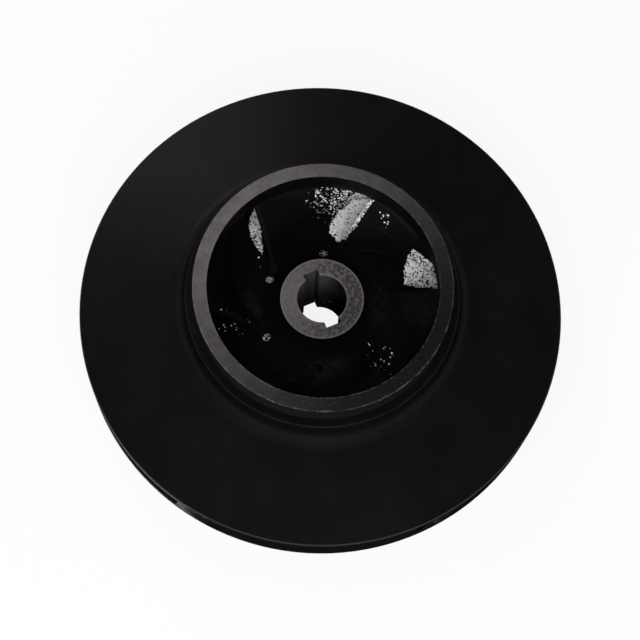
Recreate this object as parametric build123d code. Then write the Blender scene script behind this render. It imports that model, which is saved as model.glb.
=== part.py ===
# Closed radial pump impeller, cast in one piece and machined on its running surfaces.
# Millimetres. +Z points out of the eye, and the origin is on the axis at the rear hub face.
# Angles count from +X, counter-clockwise when seen from the eye. The vanes sweep backward,
# clockwise from the eye to the rim, so the impeller turns counter-clockwise.
import os
from math import cos, hypot, log, radians, sin, tan

from build123d import *

# disc and outlet
outer_radius = 157.5
rear_face = 22.0
rear_edge = 5.0
outlet_width = 18.6
front_edge = 4.7

# slopes of the walls, in degrees from flat
hub_slope = 7.5
waterway_slope = 8.0
front_slope = 9.0

# front wear ring, and the eye and neck that follow from it
ring_radius = 82.5
ring_wall = 9.0
ring_face = 94.8
ring_land = 18.0
shoulder_step = 5.5
neck_draft = 1.5
neck_fillet = 12.0
eye_flare = 28.0

# hub, seen in the eye, and its bore
hub_radius = 27.0
hub_face = 67.5
hub_draft = 1.2
hub_fillet = 16.0
bore_radius = 16.0
key_width = 10.0
key_reach = 19.3
key_angle = 112.5

# back of the impeller
rear_hub_radius = 29.0
rear_ring_radius = 82.5
rear_ring_wall = 8.5
rear_ring_face = 5.0
hub_plate = 9.0
cavity_fillet = 6.0

# balance holes
balance_holes = 6
balance_radius = 3.0
balance_circle = 40.0
balance_angle = 27.0

# vanes: the leading edge runs from the hub to the front shroud, a little outside the eye
vane_count = 6
vane_tail = 5.0
vane_nose = 4.0
nose_hub_radius = 42.0
nose_setback = 4.5
nose_shroud_height = 69.5
hub_inlet_angle = 42.0
shroud_inlet_angle = 15.0
outlet_angle = 21.0
tail_angle = 55.0
root_radius = 3.0
root_sink = 0.6

edge_break = 0.8
bore_break = 0.6
overlap = 3.0
stations = 11

eye_radius = ring_radius - ring_wall
nose_shroud_radius = eye_radius + nose_setback
shoulder_radius = ring_radius + shoulder_step
neck_radius = shoulder_radius + neck_draft
hub_line_end = rear_face + rear_edge
shroud_line_end = hub_line_end + outlet_width
rim_top = shroud_line_end + front_edge

# shares of a vane's length at its stations, the last one a little past the rim
share_step = 0.008
shares = [(1 + share_step) * index / (stations - 1) for index in range(stations)]


def hub_line(radius):
    return hub_line_end + (outer_radius - radius) * tan(radians(hub_slope))


def shroud_line(radius):
    return shroud_line_end + (outer_radius - radius) * tan(radians(waterway_slope))


def front_line(radius):
    return rim_top + (outer_radius - radius) * tan(radians(front_slope))


def turned(corners):
    """Revolve an outline of (radius, height) corners, each with an optional treatment and its size."""
    outline = Polygon(*[corner[:2] for corner in corners], align=None)
    for radius, height, *treatment in corners:
        if treatment:
            shape_corner, size = treatment
            corner = outline.vertices().sort_by_distance((radius, height, 0))[0]
            outline = shape_corner(corner, size)
    return revolve(Plane.XZ * outline, Axis.Z)


def disc_blank():
    """The whole casting with its waterway still filled."""
    ring_bore = rear_ring_radius - rear_ring_wall
    return turned([
        (0, 0),
        (rear_hub_radius, 0, chamfer, edge_break),
        (rear_hub_radius, hub_line(rear_hub_radius) - hub_plate, fillet, cavity_fillet),
        (ring_bore, hub_line(ring_bore) - hub_plate, fillet, cavity_fillet),
        (ring_bore, rear_ring_face, chamfer, edge_break),
        (rear_ring_radius, rear_ring_face, chamfer, edge_break),
        (rear_ring_radius, rear_face, fillet, cavity_fillet),
        (outer_radius, rear_face, chamfer, edge_break),
        (outer_radius, rim_top, chamfer, edge_break),
        (neck_radius, front_line(neck_radius), fillet, neck_fillet),
        (shoulder_radius, ring_face - ring_land, chamfer, edge_break),
        (ring_radius, ring_face - ring_land),
        (ring_radius, ring_face, chamfer, edge_break),
        (0, ring_face),
    ])


def waterway():
    """The room between the two shrouds, open at the eye and at the rim."""
    reach = outer_radius + overlap
    return turned([
        (0, hub_face),
        (hub_radius, hub_face),
        (hub_radius + hub_draft, hub_line(hub_radius), fillet, hub_fillet),
        (reach, hub_line(reach)),
        (reach, shroud_line(reach)),
        (eye_radius, shroud_line(eye_radius), fillet, eye_flare),
        (eye_radius, ring_face + overlap),
        (0, ring_face + overlap),
    ])


def spiral(share, nose_radius, inlet_angle):
    """Radius and angle on a wall, from the leading edge at share 0 to the rim at share 1.

    The flow angle's cotangent runs evenly from inlet to outlet along the logarithm of the radius.
    """
    whole = log(outer_radius / nose_radius)
    left = whole * (1 - share)
    outlet = 1 / tan(radians(outlet_angle))
    inlet = 1 / tan(radians(inlet_angle))
    swept = outlet * left + (inlet - outlet) * left * left / (2 * whole)
    return nose_radius * (outer_radius / nose_radius) ** share, radians(tail_angle) + swept


def rise_at(share):
    """Foot of a vane's middle surface on the rear shroud, and the vector from it to the front shroud."""
    hub_r, hub_a = spiral(share, nose_hub_radius, hub_inlet_angle)
    shroud_r, shroud_a = spiral(share, nose_shroud_radius, shroud_inlet_angle)
    foot = Vector(hub_r * cos(hub_a), hub_r * sin(hub_a), hub_line(hub_r))
    along = (shroud_r - nose_shroud_radius) / (outer_radius - nose_shroud_radius)
    top_height = nose_shroud_height + (shroud_line_end - nose_shroud_height) * along
    return foot, Vector(shroud_r * cos(shroud_a), shroud_r * sin(shroud_a), top_height) - foot


def camber(share, level):
    """Point of the vane's middle surface, at the height that level gives for its foot."""
    foot, rise = rise_at(share)
    return foot + rise * ((level(foot.Z) - foot.Z) / rise.Z)


def vane_sides(level, spread=0.0, ahead=0.0):
    """Points along both sides of a vane, with its true thickness square to its surface.

    Spread widens each side, and ahead moves the first pair inward by that many half widths.
    """
    step = share_step / 2
    sides = []
    for share in shares:
        rise = rise_at(share)[1]
        along = camber(share + step, level) - camber(share - step, level)
        along = Vector(along.X, along.Y, 0).normalized()
        across = Vector(-along.Y, along.X, 0)
        half = (vane_nose + (vane_tail - vane_nose) * share) / 2
        half = half * hypot(rise.Z, across.dot(rise)) / rise.Z + spread
        point = camber(share, level)
        if share == 0:
            point -= along * half * ahead
        sides.append((point + across * half, point - across * half))
    return zip(*sides)


def vane_outline(height):
    """The vane's edges in one flat section, with a round nose."""
    pressure, suction = vane_sides(lambda foot: height)
    nose = (pressure[0] + suction[0]) / 2
    inward = (nose - camber(share_step, lambda foot: height)).normalized()
    tip = nose + inward * (pressure[0] - suction[0]).length / 2
    return [
        Edge.make_spline(pressure, parameters=shares),
        Edge.make_line(pressure[-1], suction[-1]),
        Edge.make_spline(suction, parameters=shares).reversed(),
        Edge.make_three_point_arc(suction[0], tip, pressure[0]),
    ]


def ruled(first, second):
    return Face.make_surface_from_curves(first, second)


def vane():
    """One vane, ruled from inside the rear shroud to above the front shroud's inner wall."""
    low = vane_outline(rear_face + rear_edge / 2)
    high = vane_outline(nose_shroud_height + overlap)
    walls = [ruled(foot, head) for foot, head in zip(low, high)]
    return Solid(Shell(walls + [Face(Wire(low)), Face(Wire(high))]))


def root():
    """The cast fillet where a vane grows out of the rear shroud, as two slopes round its foot."""
    middle = root_radius * (1 - cos(radians(45)))
    corners = [(root_radius + root_sink, -root_sink), (middle, middle), (-root_sink, root_radius + root_sink)]
    loops = []
    for spread, lift in corners:
        left, right = vane_sides(lambda foot: foot + lift, spread, 1.0)
        loops.append([
            Edge.make_spline(left, parameters=shares),
            Edge.make_spline(right, parameters=shares),
            Edge.make_line(left[0], right[0]),
            Edge.make_line(left[-1], right[-1]),
        ])
    faces = [ruled(loop[0], loop[1]) for loop in (loops[0], loops[-1])]
    for low, high in zip(loops, loops[1:]):
        faces += [ruled(foot, head) for foot, head in zip(low, high)]
    return Solid(Shell(faces))


def shaft_hole():
    """The bore with its broken edges, and two keyways opposite each other."""
    rim = bore_radius + bore_break
    bore = turned([
        (0, -overlap),
        (rim + overlap, -overlap),
        (bore_radius, bore_break),
        (bore_radius, hub_face - bore_break),
        (rim + overlap, hub_face + overlap),
        (0, hub_face + overlap),
    ])
    keyways = Box(2 * key_reach, key_width, 3 * hub_face)
    return bore + Rot(0, 0, key_angle) * keyways


def impeller():
    core = waterway() - PolarLocations(0, vane_count) * (vane() + root())
    drill = Cylinder(balance_radius, 2 * hub_face)
    drills = Rot(0, 0, balance_angle) * PolarLocations(balance_circle, balance_holes) * drill
    casting = disc_blank() - core - shaft_hole() - drills
    return casting.solid()


os.makedirs("parts", exist_ok=True)
export_step(impeller(), "parts/impeller.step")
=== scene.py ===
import math

import bmesh
import bpy
from mathutils import Matrix, Vector, noise


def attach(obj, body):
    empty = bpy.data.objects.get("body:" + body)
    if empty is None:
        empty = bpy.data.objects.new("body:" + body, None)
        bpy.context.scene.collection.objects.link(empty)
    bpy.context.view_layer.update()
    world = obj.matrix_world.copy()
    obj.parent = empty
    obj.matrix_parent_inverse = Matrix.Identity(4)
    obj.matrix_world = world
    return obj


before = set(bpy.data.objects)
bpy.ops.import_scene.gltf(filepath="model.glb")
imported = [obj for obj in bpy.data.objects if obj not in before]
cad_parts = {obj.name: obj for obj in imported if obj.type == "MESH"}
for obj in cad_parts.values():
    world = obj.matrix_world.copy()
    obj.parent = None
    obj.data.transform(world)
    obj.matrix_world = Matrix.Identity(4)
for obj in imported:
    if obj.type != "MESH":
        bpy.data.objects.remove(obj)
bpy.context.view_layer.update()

mm = 0.001


class Wire:  # one output socket, so that a formula in Python adds its own nodes
    def __init__(self, net, socket):
        self.net = net
        self.socket = socket

    def math(self, operation, *values):
        return self.net.add('ShaderNodeMath', {'operation': operation}, values)

    def output(self, name):  # another output of the same node
        return Wire(self.net, self.socket.node.outputs[name])

    def __add__(self, other):
        return self.math('ADD', self, other)

    def __sub__(self, other):
        return self.math('SUBTRACT', self, other)

    def __rsub__(self, other):
        return self.math('SUBTRACT', other, self)

    def __mul__(self, other):
        return self.math('MULTIPLY', self, other)

    def __pow__(self, other):
        return self.math('POWER', self, other)

    def __lt__(self, other):
        return self.math('LESS_THAN', self, other)

    def __gt__(self, other):
        return self.math('GREATER_THAN', self, other)

    __radd__ = __add__
    __rmul__ = __mul__


class Net:  # the node tree of a material or of the world
    mixSockets = {'factor': 0, 'first': 6, 'second': 7, 'result': 2}  # of a Mix node for colours

    def __init__(self, tree):
        self.tree = tree
        tree.nodes.clear()

    def add(self, kind, settings=None, values=(), out=0):
        node = self.tree.nodes.new(kind)
        for name, value in (settings or {}).items():
            setattr(node, name, value)
        pairs = values.items() if isinstance(values, dict) else enumerate(values)
        for key, value in pairs:
            if isinstance(value, Wire):
                self.tree.links.new(value.socket, node.inputs[key])
            else:
                node.inputs[key].default_value = value
        return Wire(self, node.outputs[out]) if node.outputs else node

    def millimetres(self):  # the shaded point on its object
        place = self.add('ShaderNodeTexCoord', out='Object')
        return self.add('ShaderNodeVectorMath', {'operation': 'SCALE'}, {0: place, 'Scale': 1 / mm})

    def split(self, vector):  # the three parts of a vector
        first = self.add('ShaderNodeSeparateXYZ', values=[vector])
        return [first.output(axis) for axis in 'XYZ']

    def clamp(self, value):
        return self.add('ShaderNodeClamp', values=[value])

    def rise(self, value, low, high):  # 0 below low, 1 above high, smooth between
        settings = {'interpolation_type': 'SMOOTHSTEP', 'clamp': True}
        return self.add('ShaderNodeMapRange', settings, {'Value': value, 'From Min': low, 'From Max': high})

    def fall(self, value, low, high):  # 1 below low, 0 above high
        return 1 - self.rise(value, low, high)

    def window(self, value, low, high, soft):  # 1 between low and high
        return self.rise(value, low - soft, low) * self.fall(value, high, high + soft)

    def noise(self, vector, size, detail=2.0, rough=0.5):  # size in mm
        values = {'Vector': vector, 'Scale': 1 / size, 'Detail': detail, 'Roughness': rough}
        return self.add('ShaderNodeTexNoise', {'noise_dimensions': '3D'}, values)

    def grains(self, vector, size):  # distance to the nearest random point, in cells of that many mm
        return self.add('ShaderNodeTexVoronoi', values={'Vector': vector, 'Scale': 1 / size})

    def measure(self, operation, *vectors):  # a number from vectors
        return self.add('ShaderNodeVectorMath', {'operation': operation}, vectors, out='Value')

    def mix(self, factor, first, second):  # colours
        socket = self.mixSockets
        values = {socket['factor']: factor, socket['first']: first, socket['second']: second}
        return self.add('ShaderNodeMix', {'data_type': 'RGBA'}, values, out=socket['result'])

    def blend(self, factor, first, second):  # plain numbers
        return first + (second - first) * factor

    def bump(self, strength, height):  # height in mm
        return self.add('ShaderNodeBump', values={'Strength': strength, 'Distance': mm, 'Height': height})

    def surface(self, values):
        shader = self.add('ShaderNodeBsdfPrincipled', values=values)
        self.add('ShaderNodeOutputMaterial', values={'Surface': shader})


def newMaterial(name):
    material = bpy.data.materials.new(name)
    material.use_nodes = True
    return material, Net(material.node_tree)


# In the values below, sizes are in mm, directions are in degrees from +X, and colours are linear.
# A pair of numbers says where a mask starts and where it is full. A share says how strongly it counts.

# noise on the casting: size, detail and roughness, and how closely tool marks lie across and along the cut
grain = {
    'cloud': (7.0, 3.0, 0.6),
    'specks': (1.1, 2.0, 0.6),
    'skin': (2.2, 4.0, 0.6),
    'mottle': (0.30, 0.72),
    'mottleClouds': 0.6,
    'lathe': {'marks': (3.0, 2.0), 'noise': (1.0, 2.0)},
    'grooves': {'marks': (2.5, 1.5), 'noise': (1.0, 3.0, 0.6)},
}


class Spot:  # where on the casting the shaded point is, and the noise there
    def __init__(self, net):
        self.net = net
        self.point = net.millimetres()
        self.x, self.y, self.z = net.split(self.point)
        self.radius = (self.x * self.x + self.y * self.y) ** 0.5
        self.azimuth = self.y.math('ARCTAN2', self.y, self.x)
        self.cloud = net.noise(self.point, *grain['cloud'])
        self.specks = net.noise(self.point, *grain['specks'])
        self.skin = net.noise(self.point, *grain['skin'])
        clouds = grain['mottleClouds']
        self.mottle = net.rise(self.cloud * clouds + self.specks * (1 - clouds), *grain['mottle'])
        self.lathe = self.toolMarks(self.radius, grain['lathe'])
        self.grooves = self.toolMarks(self.z, grain['grooves'])

    def toolMarks(self, place, cut):  # fine rings round the axis
        across, along = cut['marks']
        marks = self.net.add('ShaderNodeCombineXYZ', values=[place * across, self.azimuth * along, 0.0])
        return self.net.noise(marks, *cut['noise'])

    def toward(self, degrees):  # 1 on that side of the axis, 0 opposite
        return self.azimuth.math('COSINE', self.azimuth - math.radians(degrees)) * 0.5 + 0.5

    def edges(self, outer, inner):  # the two edges of a flat ring
        return self.net.rise(self.radius, *outer) + self.net.fall(self.radius, *inner)


# the room between the shrouds: heights at the axis and slopes of its floor and ceiling, how much higher it is
# in the eye, and its reach from the axis with a soft end
waterway = {
    'floor': 47.735,
    'floorSlope': 0.13165,
    'floorMargin': 1,
    'ceiling': 71.7,
    'ceilingSlope': 0.158,
    'eyeRadius': 75.5,
    'eyeLift': 30,
    'top': 76,
    'reach': (31, 105, 1),
}


def floorHeight(radius):
    return waterway['floor'] - radius * waterway['floorSlope']


def inWaterway(spot):  # 1 on the walls between the shrouds and in the eye
    room = waterway
    inEye = (spot.radius < room['eyeRadius']) * room['eyeLift']
    ceiling = room['ceiling'] - spot.radius * room['ceilingSlope'] + inEye
    between = (spot.z > floorHeight(spot.radius) - room['floorMargin']) * (spot.z < ceiling)
    return spot.net.window(spot.radius, *room['reach']) * between * (spot.z < room['top'])


# pale grit lying in the waterway, as random grains inside outlines with ragged edges
gritLook = {
    'pale': (0.93, 0.93, 0.93, 1),
    'grey': (0.09, 0.09, 0.09, 1),
    'size': 1.05,
    'grain': (0.56, 0.70),
    'packed': (0.5, 0.9),
    'packedShare': 0.3,
    'paleBelow': (2.5, 5.0),
    'ragged': (2.5, 3.0, 0.7),
    'raggedReach': 4.0,
}

# convex outlines, with their corners counter-clockwise: how densely the grit lies there, over how many mm it
# thins out, how far above the rear shroud it reaches, and how much paler it is
gritPatches = [
    {
        'corners': [
            (-42, 79), (-46.6, 69), (-48, 61), (-46.6, 53),
            (-43.2, 46), (-38.5, 39.5), (-38, 46), (-39.8, 60),
        ],
        'dense': 0.93, 'soft': 0.5, 'lift': 2.5, 'paler': 0.14,
    },
    {
        'corners': [
            (11, 49), (16.7, 47), (25, 55), (40, 72), (42, 80),
            (31, 88), (13, 72), (6, 61.5), (6, 55),
        ],
        'dense': 0.96, 'soft': 1.0, 'lift': 32, 'paler': 0.50,
    },
    {
        'corners': [(9, 60), (31, 80), (34, 98), (8, 98), (4, 74)],
        'dense': 0.54, 'soft': 6.0, 'lift': 30, 'paler': 0.0,
    },
    {
        'corners': [(-14, 67), (6, 60), (22, 80), (16, 104), (-8, 104), (-16, 84)],
        'dense': 0.36, 'soft': 17.0, 'lift': 30, 'paler': 0.0,
    },
    {
        'corners': [
            (55, 18.5), (66, 17), (98, 15), (100, 44), (86, 54),
            (74, 50), (66, 46), (57, 36), (55.5, 29),
        ],
        'dense': 0.90, 'soft': 0.8, 'lift': 14, 'paler': 0.28,
    },
    {
        'corners': [(37, 50), (45, 50), (46, 60), (38, 62)],
        'dense': 0.09, 'soft': 1.0, 'lift': 40, 'paler': 0.0,
    },
    {
        'corners': [(-70, 0), (-68, -16), (-46, -20), (-44, -8)],
        'dense': 0.032, 'soft': 3.0, 'lift': 40, 'paler': 0.2,
    },
    {
        'corners': [(28, -28), (32, -46), (48, -44), (54, -26), (40, -20)],
        'dense': 0.06, 'soft': 3.0, 'lift': 40, 'paler': 0.2,
    },
    {
        'corners': [(-48, 34), (-38, 28), (-36, 38), (-46, 42)],
        'dense': 0.10, 'soft': 3.0, 'lift': 40, 'paler': 0.0,
    },
]


def insideOutline(x, y, corners):  # distance in from the nearest edge
    nearest = None
    for (x0, y0), (x1, y1) in zip(corners, corners[1:] + corners[:1]):
        length = math.hypot(x1 - x0, y1 - y0)
        side = y * ((x1 - x0) / length) - x * ((y1 - y0) / length) + (x0 * y1 - x1 * y0) / length
        nearest = side if nearest is None else side.math('MINIMUM', side, nearest)
    return nearest


def paintGrit(spot):  # its mask and its colour
    net, look = spot.net, gritLook
    cells = net.grains(spot.point, look['size'])
    chance, tone = net.split(cells.output('Color'))[:2]
    ragged = (net.noise(spot.point, *look['ragged']) - 0.5) * look['raggedReach']
    above = spot.z - floorHeight(spot.radius)
    cover, paler = 0.0, 0.0
    for patch in gritPatches:
        inside = insideOutline(spot.x, spot.y, patch['corners']) + ragged
        share = net.rise(inside, 0, patch['soft']) * (above < patch['lift'])
        cover = share.math('MAXIMUM', share * patch['dense'], cover)
        paler = share.math('MAXIMUM', share * patch['paler'], paler)
    cover = cover * inWaterway(spot)
    packed = net.rise(cover, *look['packed']) * look['packedShare']
    mask = (chance < cover) * net.fall(cells - packed, *look['grain'])
    tone = net.rise(tone + paler * net.fall(above, *look['paleBelow']), 0.0, 1.0)
    return mask, net.mix(tone, look['grey'], look['pale'])


# painted highlights on the vane roots and fillets in the eye, as patchy pale patches: middle, half sizes,
# turn and share
paintedEyeHighlights = [
    {'at': (-2, -42), 'size': (27, 9), 'turn': 20, 'share': 0.7},
    {'at': (-45, 4), 'size': (6, 17), 'turn': 22, 'share': 0.5},
    {'at': (36, 0), 'size': (9, 16), 'turn': -12, 'share': 0.42},
    {'at': (62, -6), 'size': (20, 10), 'turn': -48, 'share': 0.28},
]
eyeHighlightLook = {
    'heightHalf': 1e6,
    'middle': (0.3, 1.1),
    'patches': (5.0, 4.0, 0.7),
    'patchy': (0.32, 0.62),
}


def eyeHighlightMask(spot):
    net, look = spot.net, eyeHighlightLook
    mask = 0.0
    for eyeHighlight in paintedEyeHighlights:
        local = net.add('ShaderNodeMapping', {'vector_type': 'TEXTURE'}, {
            'Vector': spot.point,
            'Location': (*eyeHighlight['at'], 0),
            'Rotation': (0, 0, math.radians(eyeHighlight['turn'])),
            'Scale': (*eyeHighlight['size'], look['heightHalf']),
        })
        mask = net.fall(net.measure('LENGTH', local), *look['middle']) * eyeHighlight['share'] + mask
    patchy = net.rise(net.noise(spot.point, *look['patches']), *look['patchy'])
    return mask * inWaterway(spot) * patchy


# black paint, worn on the crests of the cast skin, with painted highlights in the eye
coatLook = {
    'black': (0.0029, 0.0030, 0.0028, 1),
    'olive': (0.0035, 0.0039, 0.0027, 1),
    'lighter': (0.0056, 0.0055, 0.0053, 1),
    'eyeHighlightTone': (0.0165, 0.0156, 0.0150, 1),
    'wornSize': 26.0,
    'wear': (0.47, 0.76),
    'oliveSize': 55.0,
    'tint': (0.42, 0.58),
}


def paintCoat(spot):
    net, look = spot.net, coatLook
    lighter = net.rise(net.noise(spot.point, look['wornSize']) * 0.5 + spot.skin * 0.5, *look['wear'])
    olive = net.rise(net.noise(spot.point, look['oliveSize']), *look['tint'])
    color = net.mix(lighter, net.mix(olive, look['black'], look['olive']), look['lighter'])
    # painted highlights in the eye
    return net.mix(eyeHighlightMask(spot), color, look['eyeHighlightTone'])


# colours that several of the turned faces share; the light one paints highlights, the dark one paints shade
# and stain on the rim and is the dark finish of the ring's side
iron = {
    'bare': (0.150, 0.135, 0.138, 1),
    'edge': (0.165, 0.158, 0.158, 1),
    'shadedAndStained': (0.0072, 0.0071, 0.0071, 1),
}

# face of the wear ring: lighter toward 138° and darker opposite as painted light and shade, with random stain
# and rust, painted glints toward 260° and painted highlights along both edges
ringLook = {
    'darkTone': (0.0105, 0.0102, 0.0102, 1),
    'rust': (0.080, 0.058, 0.053, 1),
    'brightSide': 138,
    'brightPower': 1.6,
    'evenShare': 0.66,
    'mottleShare': 0.5,
    'rusty': (0.56, 0.75),
    'rustShare': 0.3,
    'paintedGlintSide': 260,
    'paintedGlintPower': 2,
    'paintedGlints': (0.58, 0.72),
    'paintedGlintShare': 0.22,
    'outerEdge': (81.6, 81.8),
    'innerEdge': (73.9, 74.2),
    'edgeWear': (0.90, 1.20),
    'edgeShare': 0.40,
}


def paintRing(spot):
    net, look = spot.net, ringLook
    # painted light and shade: bare iron toward 138°, the dark tone opposite, broken by random stain
    paintedLightSide = spot.toward(look['brightSide']) ** look['brightPower']
    litAndClean = paintedLightSide * (look['evenShare'] + spot.mottle * look['mottleShare'])
    color = net.mix(litAndClean, look['darkTone'], iron['bare'])
    rusty = net.rise(spot.cloud, *look['rusty']) * paintedLightSide * look['rustShare']
    color = net.mix(rusty, color, look['rust'])
    # painted glints, strongest toward 260°
    paintedGlints = net.rise(spot.specks, *look['paintedGlints']) * look['paintedGlintShare']
    color = net.mix(paintedGlints * spot.toward(look['paintedGlintSide']) ** look['paintedGlintPower'], color, iron['edge'])
    # painted highlights, broken by noise, along both edges of the ring
    lighter = net.rise(spot.specks + spot.cloud, *look['edgeWear']) * look['edgeShare']
    return net.mix(spot.edges(look['outerEdge'], look['innerEdge']) * lighter, color, iron['edge'])


# face of the hub: lighter toward 175° and darker opposite as painted light and shade, with blotches of stain
# and painted highlights along both edges
hubLook = {
    'iron': (0.145, 0.128, 0.131, 1),
    'darkTone': (0.044, 0.039, 0.040, 1),
    'brightSide': 175,
    'evenShare': 0.72,
    'specks': (0.35, 0.65),
    'speckShare': 0.10,
    'blotch': (2.6, 3.0, 0.65),
    'blotches': (0.42, 0.60),
    'blotchSide': 5,
    'blotchShare': 0.55,
    'blotchRest': 0.12,
    'shade': (0.15, 1.1),
    'outerEdge': (25.6, 26.4),
    'innerEdge': (16.8, 17.4),
    'edgeShare': 0.55,
}


def paintHub(spot):
    net, look = spot.net, hubLook
    specks = net.rise(spot.specks, *look['specks']) * look['speckShare']
    blotches = net.rise(net.noise(spot.point, *look['blotch']), *look['blotches'])
    blotches = blotches * (spot.toward(look['blotchSide']) * look['blotchShare'] + look['blotchRest'])
    # painted light toward 175° and painted shade opposite, with blotches of stain
    shade = spot.toward(look['brightSide']) * (look['evenShare'] + specks) + blotches
    color = net.mix(net.rise(shade, *look['shade']), look['darkTone'], look['iron'])
    # painted highlights along both edges
    edges = spot.edges(look['outerEdge'], look['innerEdge'])
    return net.mix(edges * look['edgeShare'], color, iron['edge'])


# outside of the rim: bare iron toward 208° as painted light, worn to mottled metal toward 65°, and dark
# elsewhere as painted shade and stain
rimLook = {
    'brightSide': 208,
    'brightClouds': 0.12,
    'paintedRimLight': (0.90, 0.99),
    'wornSide': 65,
    'wornClouds': 0.5,
    'wear': (0.40, 0.62),
    'wearMottle': 0.5,
    'wearEven': 0.45,
    'groove': (0.45, 0.70),
    'grooveShare': 0.35,
}


def paintRim(spot):
    net, look = spot.net, rimLook
    clouds = spot.cloud - 0.5
    # painted light: bare iron on the side toward 208°
    paintedRimLight = net.rise(spot.toward(look['brightSide']) + clouds * look['brightClouds'], *look['paintedRimLight'])
    lighter = net.rise(spot.toward(look['wornSide']) + clouds * look['wornClouds'], *look['wear'])
    lighter = lighter * (spot.mottle * look['wearMottle'] + look['wearEven'])
    # elsewhere the dark tone stands for painted shade and stain
    color = net.mix(paintedRimLight.math('MAXIMUM', paintedRimLight, lighter), iron['shadedAndStained'], iron['bare'])
    return net.mix(net.rise(spot.grooves, *look['groove']) * look['grooveShare'], color, iron['shadedAndStained'])


# outside of the wear ring
sideLook = {
    'iron': (0.0125, 0.0120, 0.0120, 1),
    'groove': (0.40, 0.70),
}


def paintRingSide(spot):
    return spot.net.mix(spot.net.rise(spot.grooves, *sideLook['groove']), iron['shadedAndStained'], sideLook['iron'])


# wall of the bore and its keyways, darker on the side away from 150°, with three pale grains on it
boreLook = {
    'iron': (0.058, 0.055, 0.055, 1),
    'darkTone': (0.008, 0.008, 0.008, 1),
    'brightSide': 150,
    'clouds': 0.3,
    'shade': (0.30, 0.85),
    'specks': [(-2.9, 19.7, 4.5), (3.2, 15.7, 12.3), (7.1, 14.4, 17.7)],
    'speckRadius': 0.75,
}


def paintBore(spot):
    net, look = spot.net, boreLook
    shade = spot.toward(look['brightSide']) + (spot.cloud - 0.5) * look['clouds']
    return net.mix(net.rise(shade, *look['shade']), look['darkTone'], look['iron'])


def boreSpecks(spot):
    mask = 0.0
    for place in boreLook['specks']:
        mask = (spot.net.measure('DISTANCE', spot.point, place) < boreLook['speckRadius']) + mask
    return mask


# where the faces were cut on the lathe
cuts = {
    'ringFace': (93.9, 94.05),
    'hubFace': (66.7, 66.9),
    'hubEdge': (27.05, 27.3),
    'bore': (19.6, 19.9),
    'rim': (157.2, 157.4),
    'rimEdge': (156.6, 156.9),
    'rimTop': (49.3, 49.6),
    'rimEdgeShare': 0.6,
    'ringSide': (82.3, 83.2, 0.1),
    'ringFoot': (76.9, 77.1),
    'rearRing': (5.9, 6.1),
    'rearRingInner': (70, 72),
    'rearHub': (0.9, 1.1),
    'rearHubEdge': (30, 31),
}

# how shiny the surfaces are, and in mm how high their texture stands
relief = {
    'coatRoughness': 0.37,
    'roughnessSpread': 0.25,
    'ironRoughness': 0.46,
    'gritRoughness': 0.9,
    'ironMetallic': 0.35,
    'coatGloss': 0.135,
    'insideDullness': 0.7,
    'skin': 0.10,
    'lathe': 0.02,
    'grooves': 0.05,
    'grit': 0.15,
    'strength': 0.5,
}


def paintCasting():
    material, net = newMaterial('blackCasting')
    spot = Spot(net)
    z, radius = spot.z, spot.radius

    ringFace = net.rise(z, *cuts['ringFace'])
    hubFace = net.rise(z, *cuts['hubFace']) * net.fall(radius, *cuts['hubEdge'])
    bore = net.fall(radius, *cuts['bore']) * (1 - hubFace)
    rim = net.rise(radius, *cuts['rim'])
    rimEdge = net.rise(radius, *cuts['rimEdge']) * net.rise(z, *cuts['rimTop']) * cuts['rimEdgeShare']
    ringSide = net.window(radius, *cuts['ringSide']) * net.rise(z, *cuts['ringFoot']) * (1 - ringFace)
    rearRing = net.fall(z, *cuts['rearRing']) * net.rise(radius, *cuts['rearRingInner'])
    rearHub = net.fall(z, *cuts['rearHub']) * net.fall(radius, *cuts['rearHubEdge'])

    rearIron = net.mix(spot.mottle, hubLook['darkTone'], hubLook['iron'])
    color = paintCoat(spot)
    for mask, finish in (
        (ringSide, paintRingSide(spot)),
        (bore, paintBore(spot)),
        (rim, paintRim(spot)),
        (rimEdge, hubLook['darkTone']),
        (rearRing, rearIron),
        (rearHub, rearIron),
        (ringFace, paintRing(spot)),
        (hubFace, paintHub(spot)),
    ):
        color = net.mix(mask, color, finish)
    grit, gritColor = paintGrit(spot)
    color = net.mix(grit, color, gritColor)
    color = net.mix(boreSpecks(spot), color, gritLook['pale'])

    turned = net.clamp(ringFace + hubFace + rearRing + rearHub)
    dull = net.clamp(bore + rim + ringSide + turned)
    rough = relief['coatRoughness'] + (spot.skin - 0.5) * relief['roughnessSpread']
    rough = net.blend(turned, rough, relief['ironRoughness'])
    gloss = (1 - dull) * (1 - grit) * (1 - inWaterway(spot) * relief['insideDullness'])
    height = spot.skin * (1 - dull) * relief['skin'] + spot.lathe * turned * relief['lathe']
    height = height + spot.grooves * (rim + ringSide) * relief['grooves'] + grit * relief['grit']
    net.surface({
        'Base Color': color,
        'Metallic': turned * (1 - grit) * relief['ironMetallic'],
        'Roughness': net.blend(grit, rough, relief['gritRoughness']),
        'Specular IOR Level': 0.0,
        'Coat Weight': gloss * relief['coatGloss'],
        'Coat Roughness': relief['coatRoughness'],
        'Normal': net.bump(relief['strength'], height),
    })
    return material


castingFinish = paintCasting()
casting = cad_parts['impeller']
for slotIndex in range(len(casting.material_slots)):
    casting.material_slots[slotIndex].material = castingFinish
print('casting finished')


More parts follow.
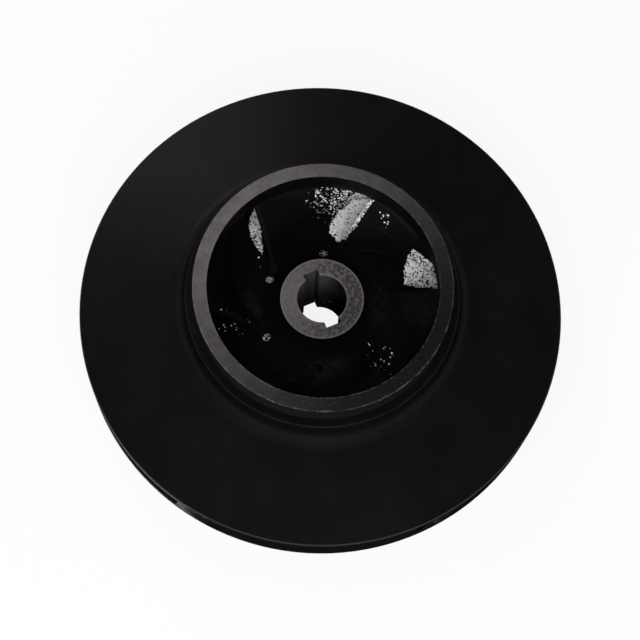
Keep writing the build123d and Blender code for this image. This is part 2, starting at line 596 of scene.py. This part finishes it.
# Residue packed in the balance holes, as lumpy plugs. Each has the direction of its hole, and of the gap that
# is left open at its side, with half the gap's width in degrees and the share of the radius it reaches in.
holeFill = {
    'circle': 40.0,
    'radius': 3.03,
    'top': 40.6,
    'bottom': 36.4,
    'segments': 40,
    'rings': 7,
    'lump': 0.55,
    'lumpsPerMm': 0.9,
    'dome': 0.5,
    'plugs': [
        {'hole': 27, 'gap': 0.0, 'toward': 0, 'spread': 1, 'finish': 'dark'},
        {'hole': 87, 'gap': 0.0, 'toward': 0, 'spread': 1, 'finish': 'mixed'},
        {'hole': 147, 'gap': 0.35, 'toward': 60, 'spread': 70, 'finish': 'pale'},
        {'hole': 207, 'gap': 0.0, 'toward': 0, 'spread': 1, 'finish': 'mixed'},
        {'hole': 267, 'gap': 0.0, 'toward': 0, 'spread': 1, 'finish': 'dark'},
        {'hole': 327, 'gap': 0.62, 'toward': 205, 'spread': 62, 'finish': 'dark'},
    ],
}


def plugPoint(plug, height, side, share, angle):  # on its upper or lower face, at a share of its radius
    fill = holeFill
    turn = math.radians(plug['hole'])
    middle = Vector((fill['circle'] * math.cos(turn), fill['circle'] * math.sin(turn), 0))
    away = math.degrees(angle) - plug['toward']
    away = abs((away + 180) % 360 - 180)
    bite = max(0.0, 1 - (away / plug['spread']) ** 2) * plug['gap']
    reach = fill['radius'] * share * (1 - bite)
    spot = middle + Vector((reach * math.cos(angle), reach * math.sin(angle), height))
    lump = noise.noise(spot * fill['lumpsPerMm']) * fill['lump'] + fill['dome'] * (1 - share ** 2)
    return (spot + Vector((0, 0, side * lump))) * mm


def buildPlug(shape, plug):
    count, rings = holeFill['segments'], holeFill['rings']
    angles = [2 * math.pi * step / count for step in range(count)]
    edges = []
    for height, side in ((holeFill['top'], 1), (holeFill['bottom'], -1)):
        layer = [[shape.verts.new(plugPoint(plug, height, side, 0, 0))]]
        for ring in range(1, rings + 1):
            points = [plugPoint(plug, height, side, ring / rings, angle) for angle in angles]
            layer.append([shape.verts.new(point) for point in points])
        for inner, outer in zip(layer, layer[1:]):
            for step in range(count):
                after = (step + 1) % count
                if len(inner) == 1:
                    corners = (inner[0], outer[step], outer[after])
                else:
                    corners = (inner[step], outer[step], outer[after], inner[after])
                shape.faces.new(corners[::side])
        edges.append(layer[-1])
    upper, lower = edges
    for step in range(count):
        after = (step + 1) % count
        shape.faces.new((upper[step], lower[step], lower[after], upper[after]))


# the residue's two colours, and how its fine grains and coarser clumps mix them
residueLook = {
    'dark': (0.006, 0.006, 0.006, 1),
    'brown': (0.060, 0.052, 0.048, 1),
    'pale': (0.62, 0.62, 0.61, 1),
    'grey': (0.14, 0.135, 0.13, 1),
    'finishes': {
        'dark': {'name': 'darkResidue', 'colors': ('dark', 'brown'), 'mixed': (0.95, 1.15)},
        'mixed': {'name': 'mixedResidue', 'colors': ('dark', 'pale'), 'mixed': (0.69, 0.89)},
        'pale': {'name': 'paleResidue', 'colors': ('grey', 'pale'), 'mixed': (0.65, 0.85)},
    },
    'grains': 0.8,
    'clumps': (1.6, 3.0, 0.6),
    'grainShare': 0.6,
    'clumpShare': 0.8,
    'firstRoughness': 0.7,
    'secondRoughness': 0.92,
    'height': 0.3,
    'grainHeight': 0.3,
    'strength': 0.6,
}


def paintResidue(finish):
    look = residueLook
    first, second = [look[color] for color in finish['colors']]
    material, net = newMaterial(finish['name'])
    point = net.millimetres()
    tone = net.split(net.grains(point, look['grains']).output('Color'))[0]
    clumps = net.noise(point, *look['clumps'])
    factor = net.rise(tone * look['grainShare'] + clumps * look['clumpShare'], *finish['mixed'])
    net.surface({
        'Base Color': net.mix(factor, first, second),
        'Roughness': net.blend(factor, look['firstRoughness'], look['secondRoughness']),
        'Specular IOR Level': 0.0,
        'Normal': net.bump(look['strength'], (clumps + tone * look['grainHeight']) * look['height']),
    })
    return material


def addMesh(name, build, material):
    mesh = bpy.data.meshes.new(name)
    shape = bmesh.new()
    build(shape)
    shape.to_mesh(mesh)
    shape.free()
    thing = bpy.data.objects.new(name, mesh)
    mesh.materials.append(material)
    bpy.context.scene.collection.objects.link(thing)
    return thing


residues = {name: paintResidue(finish) for name, finish in residueLook['finishes'].items()}
for plug in holeFill['plugs']:
    name = 'residue' + str(plug['hole'])
    piece = addMesh(name, lambda shape: buildPlug(shape, plug), residues[plug['finish']])
    for face in piece.data.polygons:
        face.use_smooth = True
    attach(piece, 'root')
print('residue placed in the balance holes')


# floor and round wall in metres, and the even light of the world
studio = {
    'floorHalf': 6.0,
    'wallRadius': 5.0,
    'wallHeight': 2.6,
    'wallSides': 96,
    'paleColor': (0.86, 0.86, 0.86, 1),
    'whiteColor': (1.0, 1.0, 1.0, 1),
    'whiteShare': 0.88,
    'worldStrength': 0.22,
}


def paintPale():  # nearly white where it is looked at or mirrored, and still takes the shadow
    material, net = newMaterial('paleStudio')
    seen = net.add('ShaderNodeLightPath', out='Is Camera Ray')
    seen = seen + seen.output('Is Glossy Ray') + seen.output('Is Transmission Ray')
    matte = net.add('ShaderNodeBsdfDiffuse', values={'Color': studio['paleColor']})
    white = net.add('ShaderNodeEmission', values={'Color': studio['whiteColor'], 'Strength': 1.0})
    mixed = net.add('ShaderNodeMixShader', values=[net.clamp(seen) * studio['whiteShare'], matte, white])
    net.add('ShaderNodeOutputMaterial', values={'Surface': mixed})
    return material


def buildFloor(shape):
    half = studio['floorHalf']
    corners = [(-half, -half, 0), (half, -half, 0), (half, half, 0), (-half, half, 0)]
    shape.faces.new([shape.verts.new(corner) for corner in corners])


def buildWall(shape):
    reach, count = studio['wallRadius'], studio['wallSides']
    turns = [2 * math.pi * index / count for index in range(count)]
    foot, top = [
        [shape.verts.new((reach * math.cos(turn), reach * math.sin(turn), height)) for turn in turns]
        for height in (0, studio['wallHeight'])
    ]
    for index in range(count):
        after = (index + 1) % count
        shape.faces.new((foot[index], top[index], top[after], foot[after]))


pale = paintPale()
floor = addMesh('floor', buildFloor, pale)
wall = addMesh('wall', buildWall, pale)

world = bpy.data.worlds.new('studioWorld')
world.use_nodes = True
worldNet = Net(world.node_tree)
evenLight = {'Color': studio['whiteColor'], 'Strength': studio['worldStrength']}
dome = worldNet.add('ShaderNodeBackground', values=evenLight)
worldNet.add('ShaderNodeOutputWorld', values={'Surface': dome})
bpy.context.scene.world = world

# places and sizes in metres, power in watts; only lamps with gloss are mirrored in the surfaces
lampAim = (0, 0, 0.05)
lamps = [
    {'name': 'front', 'at': (-0.12, -0.98, 1.0), 'size': 1.7, 'power': 6.0, 'gloss': True},
    {'name': 'frontMatte', 'at': (-0.12, -1.03, 1.05), 'size': 1.7, 'power': 22.0, 'gloss': False},
    {'name': 'sheen', 'at': (-0.45, 0.95, 0.90), 'size': 0.6, 'power': 5.0, 'gloss': True},
]


def addLamp(lamp):
    data = bpy.data.lights.new(lamp['name'], 'AREA')
    data.shape = 'SQUARE'
    data.size = lamp['size']
    data.energy = lamp['power']
    thing = bpy.data.objects.new(lamp['name'], data)
    thing.location = lamp['at']
    thing.visible_glossy = lamp['gloss']
    toward = Vector(lampAim) - Vector(lamp['at'])
    thing.rotation_euler = toward.to_track_quat('-Z', 'Y').to_euler()
    bpy.context.scene.collection.objects.link(thing)


for lamp in lamps:
    addLamp(lamp)

# place and aim in metres, lens and film in mm
cameraPose = {
    'at': (-0.0357, -0.3398, 1.0869),
    'aim': (-0.0009, -0.0091, 0.05025),
    'lens': 93.9,
    'film': 36.0,
}


def addCamera(pose):  # level, so that +X runs across the picture
    data = bpy.data.cameras.new('camera')
    data.lens = pose['lens']
    data.sensor_width = pose['film']
    data.sensor_fit = 'HORIZONTAL'
    thing = bpy.data.objects.new('camera', data)
    ahead = (Vector(pose['aim']) - Vector(pose['at'])).normalized()
    across = (Vector((1, 0, 0)) - ahead * ahead.x).normalized()
    upward = across.cross(ahead)
    turn = Matrix((across, upward, -ahead)).transposed()
    thing.matrix_world = Matrix.Translation(pose['at']) @ turn.to_4x4()
    bpy.context.scene.collection.objects.link(thing)
    bpy.context.scene.camera = thing


addCamera(cameraPose)
bpy.context.scene.view_settings.view_transform = 'Standard'
print('studio and camera ready')
